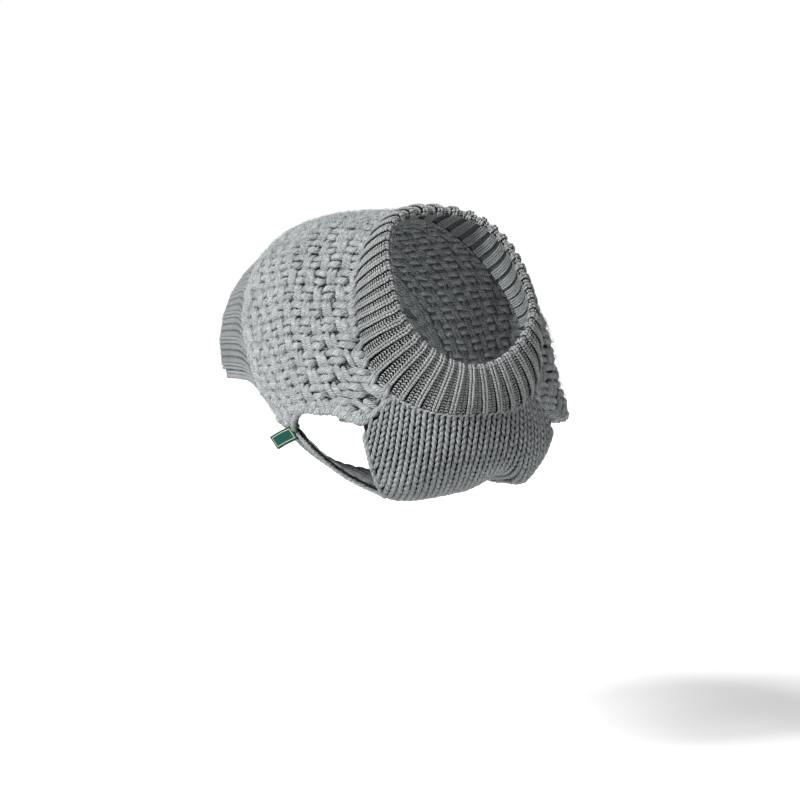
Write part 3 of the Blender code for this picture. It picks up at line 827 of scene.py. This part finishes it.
# %% A row of overlapping legs
def plait(name, line, outs, step, reach, slant, radius, lift, yarn, flat=0.85):
    """Legs along a line of points, reach mm long and step mm apart, each slanting slant mm."""
    far = np.concatenate([[0.0], np.cumsum(np.linalg.norm(np.diff(line, axis=0), axis=1))])
    starts = np.arange(0.0, far[-1] - 0.45 * reach, step)
    t = np.linspace(0.0, 1.0, 7)
    where = np.clip(starts[:, None] + reach * t[None], 0.0, far[-1])
    centres = np.stack([np.interp(where, far, line[:, axis]) for axis in range(3)], axis=-1)
    ups = unit(np.stack([np.interp(where, far, outs[:, axis]) for axis in range(3)], axis=-1))
    inward = unit(np.cross(ups, unit(np.gradient(centres, axis=1) + 1e-6)))
    shape = np.sin(np.pi * np.clip(t, 0.04, 0.96))[None] ** 0.6
    count = len(starts)
    rise = 0.75 * (shape - 1.0) + 0.35 * (t[None] - 0.5)
    height = lift + radius * rise + jitter(count, 0.08 * radius)[:, None]
    centres = centres + ups * height[..., None]
    aside = slant * (t[None] - 0.5) + jitter(count, 0.10 * radius)[:, None]
    centres = centres + inward * aside[..., None]
    wide = radius * (0.5 + 0.5 * shape) * (1.0 + jitter(count, 0.07)[:, None])
    return lay_strands(name, centres, ups, wide, flat * wide, 6, yarn)


def body_line(along, around):
    """A line on the body form through places along and around."""
    return on_body(np.asarray(along, float), np.asarray(around, float), np.zeros(len(along)))


# %% Strands beside the band
SIDES = (("right", -1.0), ("left", 1.0))
for lane in range(REAR_LANES):
    for mark, half in SIDES:
        around = half * np.linspace(-0.03, 0.69, 90)
        along = band_start(around) + LANES_BEHIND - LANE_PITCH * (lane + 0.5)
        inside = np.abs(around) < edge_at(along, "back") - EDGE_INSET
        line, outs = body_line(along[inside], around[inside])
        plait("rear_strand_%s_%d" % (mark, lane + 1), line, outs, 8.3 + 0.4 * lane, 16.5, 0.9 * half,
              1.25, -0.3, chunky_yarn)
        # Inside, the same rows show as a second line of strands.
        plait("rear_inner_%s_%d" % (mark, lane + 1), line - outs * 3.2, -outs, 7.7, 12.0, 0.8 * half,
              1.6, 0.0, chunky_yarn)

# %% Rows along the edges
ROW_COLUMNS = (
    "name", "first", "last", "points", "panel", "inset",
    "step", "reach", "slant", "radius", "lift", "yarn", "slot",
)


def rows_along(table):
    """Lays every row of a table on the right side, and then on the left."""
    for mark, half in SIDES:
        for values in table:
            row = dict(zip(ROW_COLUMNS, values))
            along = np.linspace(row["first"], row["last"], row["points"])
            line, outs = body_line(along, half * (edge_at(along, row["panel"]) - row["inset"]))
            plait(row["name"] + "_" + mark, line, outs, row["step"], row["reach"], row["slant"] * half,
                  row["radius"], row["lift"], row["yarn"])


# In front, a second row fills the corner between the armhole's edge, the basket and the shoulder seam.
rows_along((
    ("armhole_cast_off", 0.055, 0.60, 90, "back", CAST_OFF_INSET,
     6.0, 10.5, -2.8, 1.8, 0.05, chunky_yarn, "back_panel"),
    ("armhole_corner", 0.03, 0.19, 40, "back", 0.028, 6.4, 10.5, 2.4, 1.7, -0.5, chunky_yarn, "back_panel"),
    ("slanted_edge", 0.60, BAND_AT_SIDE + 0.01, 30, "back", EDGE_INSET,
     5.0, 9.0, 1.0, 1.3, -0.5, chunky_yarn, "back_panel"),
))

# %% Linked seams
rows_along((
    ("shoulder_seam", 0.005, 0.095, 30, "back", 0.0, 5.4, 9.0, 2.0, 1.6, -0.2, chunky_yarn, "back_panel"),
    ("side_seam", 0.485, 0.60, 40, "back", 0.0, 3.2, 5.4, 1.0, 0.9, -0.7, chest_yarn, "chest_panel"),
))
around = np.linspace(-1.0, 1.0, 301)
line, outs = body_line(np.full(301, 0.003), around)
# Along the back the row sinks between the two knits. Along the chest it shows as a fine chain.
line = line - outs * (1.1 * np.clip((0.82 - np.abs(around)) / 0.12, 0.0, 1.0))[:, None]
neck_seam = plait("neckline_linking", line, outs, 3.4, 4.6, 1.7, 0.75, 0.15, fine_yarn)

# %% [markdown]
# ## Plain knit
# The chest is stockinette in a middle yarn: columns of V shaped stitches that run lengthwise, with
# dark gaps beside each leg. Each leg comes up from under the stitch before, leans outwards and
# dives again, so one short strand is laid for each leg, on a chart of columns and rows.

# %% Chest stitches
WALE = 6.4
COURSE = 3.2


def chest_point(off, length, lift):
    """Point of the chest panel: off mm to the left of the belly line, length mm from the neckline."""
    around = 1.0 - off / FIRST_GIRTH
    for _ in range(3):
        along = along_for(np.clip(length, 0.0, None), around)
        around = 1.0 - off / girth_at(along)
    return on_body(along, around, lift)


def chest_chart(margin):
    """Columns and rows of the chest panel that lie margin mm inside its edges, and their reach."""
    wale, course = [g.ravel() for g in np.meshgrid(np.arange(-15, 16), np.arange(0, 60))]
    off, length = wale * WALE, (course + 0.5) * COURSE
    around = 1.0 - off / FIRST_GIRTH
    for _ in range(3):
        along = along_for(length, around)
        around = 1.0 - off / girth_at(along)
    reach = (1.0 - edge_at(along, "chest")) * girth_at(along) - margin
    keep = (np.abs(off) < reach - 0.2) & (along < CHEST_LAST - 0.012)
    return wale[keep], course[keep], reach[keep]


def chest_legs():
    """Two leaning legs for each stitch."""
    wale, course, reach = chest_chart(1.4)
    wale, course, reach = [np.concatenate([part, part]) for part in (wale, course, reach)]
    side = np.repeat([-1.0, 1.0], len(wale) // 2)
    count = len(wale)
    t = np.linspace(0.0, 1.0, 6)
    shape = np.sin(np.pi * np.clip(t, 0.03, 0.97))[None]
    # Under the chest the stitches are not stretched, so the legs touch and the holes between them close.
    slack = np.clip((course[:, None] * COURSE - 26.0) / 18.0, 0.0, 1.0)
    off = wale[:, None] * WALE + side[:, None] * (0.66 + 1.90 * t[None]) + jitter(count, 0.12)[:, None]
    off = np.clip(off, -reach[:, None], reach[:, None])
    length = (course[:, None] + 1.25 - 1.55 * t[None] + jitter(count, 0.07)[:, None]) * COURSE
    lift = -1.3 + 0.35 * slack + (1.0 - 0.4 * slack) * shape - 0.5 * (t[None] - 0.5)
    lift = lift + jitter(count, 0.08)[:, None]
    centres, ups = chest_point(off, np.clip(length, 0.8, None), lift)
    wide = (1.06 + 0.20 * slack) * (0.46 + 0.34 * slack + (0.54 - 0.34 * slack) * shape)
    wide = wide * (1.0 + jitter(count, 0.07)[:, None])
    return lay_strands("chest_stitches", centres, ups, wide, 0.85 * wide, 5, chest_yarn)


chest_stitches = chest_legs()


# %% Backs of the chest stitches
def chest_backs():
    """Inside, each stitch shows as a small purl bar."""
    wale, course, _ = chest_chart(3.0)
    t = np.linspace(-0.5, 0.5, 4)
    count = len(wale)
    off = wale[:, None] * WALE + 7.0 * t[None]
    arch = np.cos(np.pi * t)[None]
    length = (course[:, None] + 0.5 + 0.3 * arch) * COURSE
    centres, ups = chest_point(off, length, -2.2 - 0.7 * arch + jitter(count, 0.08)[:, None])
    return lay_strands("chest_stitch_backs", centres, -ups, 0.95, 0.8, 4, chest_yarn)


chest_inside = chest_backs()

# %% Edges of the chest panel
rows_along((
    ("armhole_plait", 0.09, 0.488, 80, "chest", -0.0055, 3.4, 6.0, 1.7, 1.15, -0.15, chest_yarn, "chest_panel"),
))
around = np.linspace(0.70, 1.30, 80)
line, outs = body_line(np.full(80, CHEST_LAST - EDGE_INSET), around)
plait("belly_cast_off", line, outs, 3.6, 6.2, 1.4, 1.2, -0.3, chest_yarn)

# %% [markdown]
# ## Ribs
# The collar and the rear band are ribbed in a finer yarn. A rib is two close cords of plain
# stitches that stand up, and the wider valley between two ribs shows the backs of the stitches as
# rows of small arched bars. At the free edge every cord and bar turns over to the inside, which
# gives each rib its rounded end. Inside, ribs and valleys change places.

# %% Over a free edge
ROLL = 1.3


def over_edge(points, outs, run, over, lift):
    """Points carried round a free edge: over mm past it, lift mm off the form before the turn."""
    radius = np.asarray(lift) + ROLL
    angle = np.clip(np.asarray(over) / (ROLL + 0.8), 0.0, np.pi)
    up = outs * np.cos(angle)[..., None] + run * np.sin(angle)[..., None]
    return points - outs * ROLL + up * radius[..., None], up


def rib_cords(name, places, half_gap, rows, turned, on_form, lift, radius, yarn):
    """Two columns of small legs on each rib, on past the edge by the turned rows."""
    rib, row = [g.ravel() for g in np.meshgrid(np.arange(len(places)), np.arange(rows + turned))]
    rib, row = np.concatenate([rib, rib]), np.concatenate([row, row])
    side = np.repeat([-1.0, 1.0], len(rib) // 2)
    count = len(rib)
    t = np.linspace(0.0, 1.0, 5)
    shape = np.sin(np.pi * np.clip(t, 0.03, 0.97))[None] ** 0.8
    up = np.clip((row[:, None] - 0.35 + 1.35 * t[None]) / rows, 0.0, None)
    off = side[:, None] * half_gap * (0.62 + 0.76 * t[None]) + jitter(count, 0.06)[:, None]
    height = lift + 0.75 * (shape - 1.0) + 0.8 * (t[None] - 0.5) + jitter(count, 0.07)[:, None]
    centres, ups = on_form(up, places[rib][:, None], off, height)
    wide = radius * (0.42 + 0.58 * shape) * (1.0 + jitter(count, 0.07)[:, None])
    return lay_strands(name, centres, ups, wide, 0.95 * wide, 5, yarn)


def valley_bars(name, places, share, across, rows, turned, on_form, lift, dip, radius, yarn):
    """Small arched bars in each valley, across of them side by side, over a share of its width."""
    grids = np.meshgrid(np.arange(len(places)), np.arange(rows + turned), np.arange(across))
    valley, row, lane = [g.ravel() for g in grids]
    count = len(valley)
    t = np.linspace(-0.5, 0.5, 5)
    arch = np.cos(np.pi * t)[None]
    step = share * (places[1] - places[0]) / across
    up = np.clip((row[:, None] - 0.10 + 0.80 * arch + jitter(count, 0.06)[:, None]) / rows, 0.0, None)
    place = places[valley][:, None] + step * (lane[:, None] - 0.5 * (across - 1) + 0.96 * t[None])
    height = lift + dip * (arch - 1.0) + jitter(count, 0.07)[:, None]
    centres, ups = on_form(up, place, jitter(count, 0.08)[:, None], height)
    wide = radius * (1.0 + jitter(count, 0.08)[:, None]) * np.ones((1, len(t)))
    return lay_strands(name, centres, ups, wide, wide, 4, yarn)


# %% Collar ribs and valleys
# The real rows are about 1.6 mm high. They are drawn 2.1 mm high, so that each little arch shows.
COLLAR_ROWS = 17
COLLAR_RIBS = 44
COLLAR_LEAN = 0.075
COLLAR_SPREAD = 0.065
collar_girths = np.linalg.norm(np.diff(collar, axis=1), axis=2).sum(axis=1) / 2.0


def spread_at(place):
    """How far round a rib's foot stands from its even place: most at the sides of the neck."""
    return COLLAR_SPREAD * np.exp(-((np.abs(place) - 0.57) / 0.16) ** 2)


def on_collar_mm(up, around, off, lift):
    """Point of the collar, off mm to the side of a place around. Past 1 it turns over the edge."""
    up = np.asarray(up, float)
    inside = 0.012 + 0.985 * np.clip(up, 0.0, 1.0)
    # At the sides of the neck the ribs lean towards the front on their way up, and stand wider apart.
    share = (around + 1.0) % 2.0 - 1.0
    lean = COLLAR_LEAN * inside * np.sin(np.pi * np.abs(share)) - (1.0 - inside) * spread_at(share)
    around = share + np.sign(share) * lean + off / np.interp(inside, COLLAR_UP, collar_girths)
    points, outs = on_collar(inside, around, np.zeros(np.shape(inside)))
    run = unit(-read_grid(collar_run, COLLAR_UP, inside, around))
    over = np.clip(up - 1.0, 0.0, None) * COLLAR_HEIGHT
    return over_edge(points, outs, run, over, lift)


rib_at = 2.0 * (np.arange(COLLAR_RIBS) + 0.5) / COLLAR_RIBS - 1.0
valley_at = 2.0 * np.arange(COLLAR_RIBS) / COLLAR_RIBS - 1.0
collar_cords = rib_cords("collar_cords", rib_at, 0.84, COLLAR_ROWS, 4, on_collar_mm,
                         0.95, 0.82, fine_yarn)
collar_valleys = valley_bars("collar_valleys", valley_at, 0.58, 2, COLLAR_ROWS, 3, on_collar_mm,
                             0.0, 0.6, 0.42, valley_yarn_painted_light)


# %% Tails of the ribs
CROSSING = 0.33


def rib_tails(name, places, half_gap, radius):
    """On the back, each rib runs on over the neckline as two fat strands and dives under the basket."""
    rib = np.concatenate([places, places])[:, None]
    side = np.repeat([-1.0, 1.0], len(places))[:, None]
    t = np.linspace(0.0, 1.0, 8)[None] * np.ones((len(rib), 1))
    lift = 0.75 + 0.6 * t - 2.6 * t * t + jitter((len(rib), 1), 0.15)
    off = side * half_gap * (1.0 + t)
    above, above_out = on_collar_mm(np.clip(0.12 - 0.36 * t, 0.0, None), rib, off, lift)
    around = rib - np.sign(rib) * spread_at(rib) + off / girth_at(0.0)
    below, below_out = on_body(0.055 * np.clip(t - CROSSING, 0.0, None), around, lift)
    crossed = (t > CROSSING)[..., None]
    shape = np.sin(np.pi * np.clip(t, 0.08, 0.92))
    wide = radius * (0.60 + 0.40 * shape) * lumpy(t.shape, 0.08)
    centres, ups = np.where(crossed, below, above), unit(np.where(crossed, below_out, above_out))
    return lay_strands(name, centres, ups, wide, 0.9 * wide, 6, chunky_yarn)


rib_tails("rib_tails", rib_at[np.abs(rib_at) < 0.76], 0.80, 1.25)


# %% Inside of the collar
def inner_cords(name, places, across, rows, on_form, lift, radius):
    """Rows of plain stitches on the inside, where the valleys stand out."""
    grids = np.meshgrid(np.arange(len(places)), np.arange(rows), np.arange(2 * across))
    valley, row, lane = [g.ravel() for g in grids]
    count = len(valley)
    t = np.linspace(0.0, 1.0, 4)
    shape = np.sin(np.pi * np.clip(t, 0.05, 0.95))[None] ** 0.5
    lean = np.where(lane % 2 == 0, -1.0, 1.0)[:, None] * 0.3 * (t[None] - 0.5)
    up = np.clip((row[:, None] - 0.3 + 1.6 * t[None]) / rows, 0.0, 1.0)
    off = 1.35 * (lane[:, None] - across + 0.5) + lean + jitter(count, 0.06)[:, None]
    height = lift - 0.4 * (shape - 1.0) + jitter(count, 0.05)[:, None]
    centres, ups = on_form(up, places[valley][:, None], off, height)
    wide = radius * (0.6 + 0.4 * shape) * np.ones((count, 1))
    return lay_strands(name, centres, -ups, wide, wide, 4, fine_yarn)


collar_inside = inner_cords("collar_inner_ribs", valley_at, 2, 16, on_collar_mm, -3.1, 0.72)

# %% Rear band ribs and valleys
# The real rows are about 1.6 mm high here too, and are drawn 2 mm high.
HEM_ROWS = 22
HEM_RIBS = 13
HEM_LENGTH = 43.0
HEM_SWEEP = 0.05
SCALLOP = 0.6


def on_hem_mm(up, share, off, lift):
    """Point of the rear band: up is 0 at the back panel and 1 at the hem, share is the place across."""
    up = np.asarray(up, float)
    inside = 0.01 + 0.985 * np.clip(up, 0.0, 1.0)
    nominal = BAND_AT_SIDE + inside * (1.0 - BAND_AT_SIDE)
    limit = edge_at(nominal, "back") - EDGE_INSET
    across = share + off / (limit * girth_at(nominal))
    swept = across + HEM_SWEEP * (1.0 - inside) * np.sin(np.pi * across)
    around = np.clip(swept * limit, -limit, limit)
    start = band_start(around)
    along = start + inside * (1.0 - start)
    points, outs = on_body(along, around, np.zeros(np.shape(along)))
    run = unit(read_grid(body_run, BODY_ALONG, along, around))
    # The ribs reach a little farther than the valleys, which scallops the edge.
    wave = np.cos(np.pi * HEM_RIBS * (across + 1.0) + np.pi)
    points = points + run * (SCALLOP * wave * inside ** 6)[..., None]
    over = np.clip(up - 1.0, 0.0, None) * HEM_LENGTH
    return over_edge(points, outs, run, over, lift)


hem_rib_at = 2.0 * (np.arange(HEM_RIBS) + 0.5) / HEM_RIBS - 1.0
hem_valley_at = 2.0 * np.arange(1, HEM_RIBS) / HEM_RIBS - 1.0
hem_cords = rib_cords("hem_cords", hem_rib_at, 1.15, HEM_ROWS, 3, on_hem_mm, -0.35, 1.0, band_yarn_painted_shade)
hem_valleys = valley_bars("hem_valleys", hem_valley_at, 0.76, 3, HEM_ROWS, 2, on_hem_mm,
                          -0.50, 0.3, 0.66, band_yarn_painted_shade)
hem_inside = inner_cords("hem_inner_ribs", hem_valley_at, 4, 20, on_hem_mm, -3.2, 0.72)

# %% Sides of the rear band
up, none = np.linspace(0.0, 1.0, 40), np.zeros(40)
for mark, half in SIDES:
    line, outs = on_hem_mm(up, half * 0.985 + none, none, none - 0.9)
    plait("band_edge_" + mark, line, outs, 3.0, 5.2, 0.7 * half, 1.35, 0.1, band_yarn_painted_shade)
    line, outs = on_hem_mm(up, half * 0.962 + none, none, none - 1.0)
    plait("band_edge_row_" + mark, line, outs, 2.2, 3.8, 0.5 * half, 1.6, -0.5, band_yarn_painted_shade)

# %% [markdown]
# ## Label
# A folded woven tape in dark green satin, with a thin pale woven line inside its edge. Nothing is
# written on it. It is a small sheet, so a grid with its own UV map in centimetres is enough, and
# the line is drawn by distance from the edge.

# %% Label cloth
LABEL_ROOT = np.array([-59.7, -69.1, -109.95])
LABEL_RUN = unit(np.array([-7.0, 19.0, -9.0]))
LABEL_ACROSS = unit(np.array([2.0, -6.0, -6.0]))
LABEL_LONG = 17.0
LABEL_WIDE = 9.0


def place_label(x, y):
    """A slightly bowed tape from the seam outwards."""
    face = unit(np.cross(LABEL_RUN, LABEL_ACROSS))
    points = LABEL_ROOT + LABEL_RUN * (LABEL_LONG * y)[:, None]
    points = points + LABEL_ACROSS * (LABEL_WIDE * (x - 0.5))[:, None]
    points = points + face * (np.sin(np.pi * y) * 1.0 + 0.5)[:, None]
    return points, np.stack([x * LABEL_WIDE, y * LABEL_LONG], axis=-1)


def woven_tape(name, ground_colour, line_colour):
    """Satin tape: close weft threads that catch a little light, and a pale line near the edge."""
    material = bpy.data.materials.new(name)
    material.use_nodes = True
    tree = material.node_tree
    shader = tree.nodes["Principled BSDF"]
    shader.inputs["Roughness"].default_value = 0.6
    shader.inputs["Specular IOR Level"].default_value = 0.1
    uv = add_node(tree, "ShaderNodeUVMap", [("uv_map", "cloth")])
    split = add_node(tree, "ShaderNodeSeparateXYZ", [], [("Vector", uv.outputs["UV"])])
    distances = []
    for axis, size in (("X", 0.1 * LABEL_WIDE), ("Y", 0.1 * LABEL_LONG)):
        centred = add_node(tree, "ShaderNodeMath", [("operation", "SUBTRACT"), (1, 0.5 * size)],
                           [(0, split.outputs[axis])])
        off = add_node(tree, "ShaderNodeMath", [("operation", "ABSOLUTE")], [(0, centred.outputs[0])])
        distances.append(add_node(tree, "ShaderNodeMath", [("operation", "SUBTRACT"), (0, 0.5 * size)],
                                  [(1, off.outputs[0])]))
    nearest = add_node(tree, "ShaderNodeMath", [("operation", "MINIMUM")],
                       [(0, distances[0].outputs[0]), (1, distances[1].outputs[0])])
    # The line lies 1.3 mm from the edge and is 0.4 mm wide.
    line = add_node(tree, "ShaderNodeMath", [("operation", "COMPARE"), (1, 0.13), (2, 0.022)],
                    [(0, nearest.outputs[0])])
    tint = add_node(tree, "ShaderNodeMix",
                    [("data_type", "RGBA"), (6, linear(ground_colour)), (7, linear(line_colour))],
                    [(0, line.outputs[0])])
    tree.links.new(tint.outputs[2], shader.inputs["Base Color"])
    # Weft threads are 0.15 mm apart. They are drawn 0.45 mm apart so that they show.
    threads = add_node(tree, "ShaderNodeMath", [("operation", "MULTIPLY"), (1, TURN * 10.0 / 0.45)],
                       [(0, split.outputs["Y"])])
    wave = add_node(tree, "ShaderNodeMath", [("operation", "SINE")], [(0, threads.outputs[0])])
    bump = add_node(tree, "ShaderNodeBump", [("Strength", 0.5), ("Distance", 0.1 * MM)],
                    [("Height", wave.outputs[0])])
    tree.links.new(bump.outputs["Normal"], shader.inputs["Normal"])
    return material


satin = woven_tape("woven_satin_tape", "#08463F", "#B0AC80")
label = cloth_sheet("label_tape", 10, 20, place_label, 1.0, satin, inside=None)

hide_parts("back_panel")
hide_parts("chest_panel")
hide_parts("collar")
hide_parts("hem_rib")
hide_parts("label")

# %% [markdown]
# ## Floor, light and camera
# The sweater hangs at the height at which it is worn, over a plain white floor. A large soft light
# from the left and above shows the relief, and a weak one from low in front keeps the shade open.
# The surroundings light the garment at less than the white that stands behind it.

# %% Floor
FLOOR_HEIGHT = -0.284
floor_mesh = bpy.data.meshes.new("floor")
ground = bmesh.new()
bmesh.ops.create_grid(ground, x_segments=1, y_segments=1, size=2.6)
bmesh.ops.translate(ground, verts=ground.verts, vec=(0.0, 0.0, FLOOR_HEIGHT))
ground.to_mesh(floor_mesh)
ground.free()
floor = bpy.data.objects.new("floor", floor_mesh)
bpy.context.scene.collection.objects.link(floor)
# Matt white studio paper: even, without gloss.
paper = bpy.data.materials.new("matt_studio_paper")
paper.use_nodes = True
# The paper looks white, and sends the garment a little less light, which keeps its lower side in shade.
seen = add_node(paper.node_tree, "ShaderNodeLightPath")
paper_tint = add_node(paper.node_tree, "ShaderNodeMix",
                      [("data_type", "RGBA"), (6, linear("#F4F4F4")), (7, linear("#FFFFFF"))],
                      [(0, seen.outputs["Is Camera Ray"])])
glow = add_node(paper.node_tree, "ShaderNodeMath", [("operation", "MULTIPLY"), (1, 0.30)],
                [(0, seen.outputs["Is Camera Ray"])])
shader = paper.node_tree.nodes["Principled BSDF"]
shader.inputs["Emission Color"].default_value = linear("#FFFFFF")
shader.inputs["Roughness"].default_value = 0.95
shader.inputs["Specular IOR Level"].default_value = 0.1
paper.node_tree.links.new(paper_tint.outputs[2], shader.inputs["Base Color"])
paper.node_tree.links.new(glow.outputs[0], shader.inputs["Emission Strength"])
floor_mesh.materials.append(paper)

# %% Lights
WORLD_LIGHT = 0.31
world = bpy.data.worlds.new("studio")
bpy.context.scene.world = world
world.use_nodes = True
sky = world.node_tree.nodes["Background"]
sky.inputs["Color"].default_value = linear("#FFFFFF")
ray = add_node(world.node_tree, "ShaderNodeLightPath")
strength = add_node(world.node_tree, "ShaderNodeMapRange", [("To Min", WORLD_LIGHT), ("To Max", 1.0)],
                    [("Value", ray.outputs["Is Camera Ray"])])
world.node_tree.links.new(strength.outputs["Result"], sky.inputs["Strength"])


def soft_light(name, place, aim, size, power):
    """A square area light at a place, facing a point."""
    lamp = bpy.data.lights.new(name, "AREA")
    lamp.shape, lamp.size, lamp.energy = "SQUARE", size, power
    item = bpy.data.objects.new(name, lamp)
    back = unit(np.array(place, float) - np.array(aim, float))
    side = unit(np.cross([0.0, 0.0, 1.0], back))
    turned = Matrix(np.column_stack([side, np.cross(back, side), back]).tolist()).to_4x4()
    turned.translation = place
    item.matrix_world = turned
    bpy.context.scene.collection.objects.link(item)


soft_light("key", (-6.0, -0.5, 5.0), (0.0, -0.05, -0.06), 3.0, 885.0)
soft_light("fill", (-2.6, -6.2, 0.6), (0.0, -0.05, -0.06), 3.5, 62.0)

# %% Camera
CAMERA_BACK = np.array([-0.42101, -0.90286, 0.08716])
CAMERA_RIGHT = np.array([0.90631, -0.42262, 0.0])
CAMERA_TARGET = np.array([-0.0105, -0.098, -0.092])
CAMERA_DISTANCE = 2.0
lens = bpy.data.cameras.new("camera")
lens.sensor_width, lens.lens = 36.0, 168.05
camera = bpy.data.objects.new("camera", lens)
bpy.context.scene.collection.objects.link(camera)
axes = np.column_stack([CAMERA_RIGHT, np.cross(CAMERA_BACK, CAMERA_RIGHT), CAMERA_BACK])
look = Matrix(axes.tolist()).to_4x4()
look.translation = (CAMERA_TARGET + CAMERA_BACK * CAMERA_DISTANCE).tolist()
camera.matrix_world = look
bpy.context.scene.camera = camera
bpy.context.scene.view_settings.view_transform = "Standard"
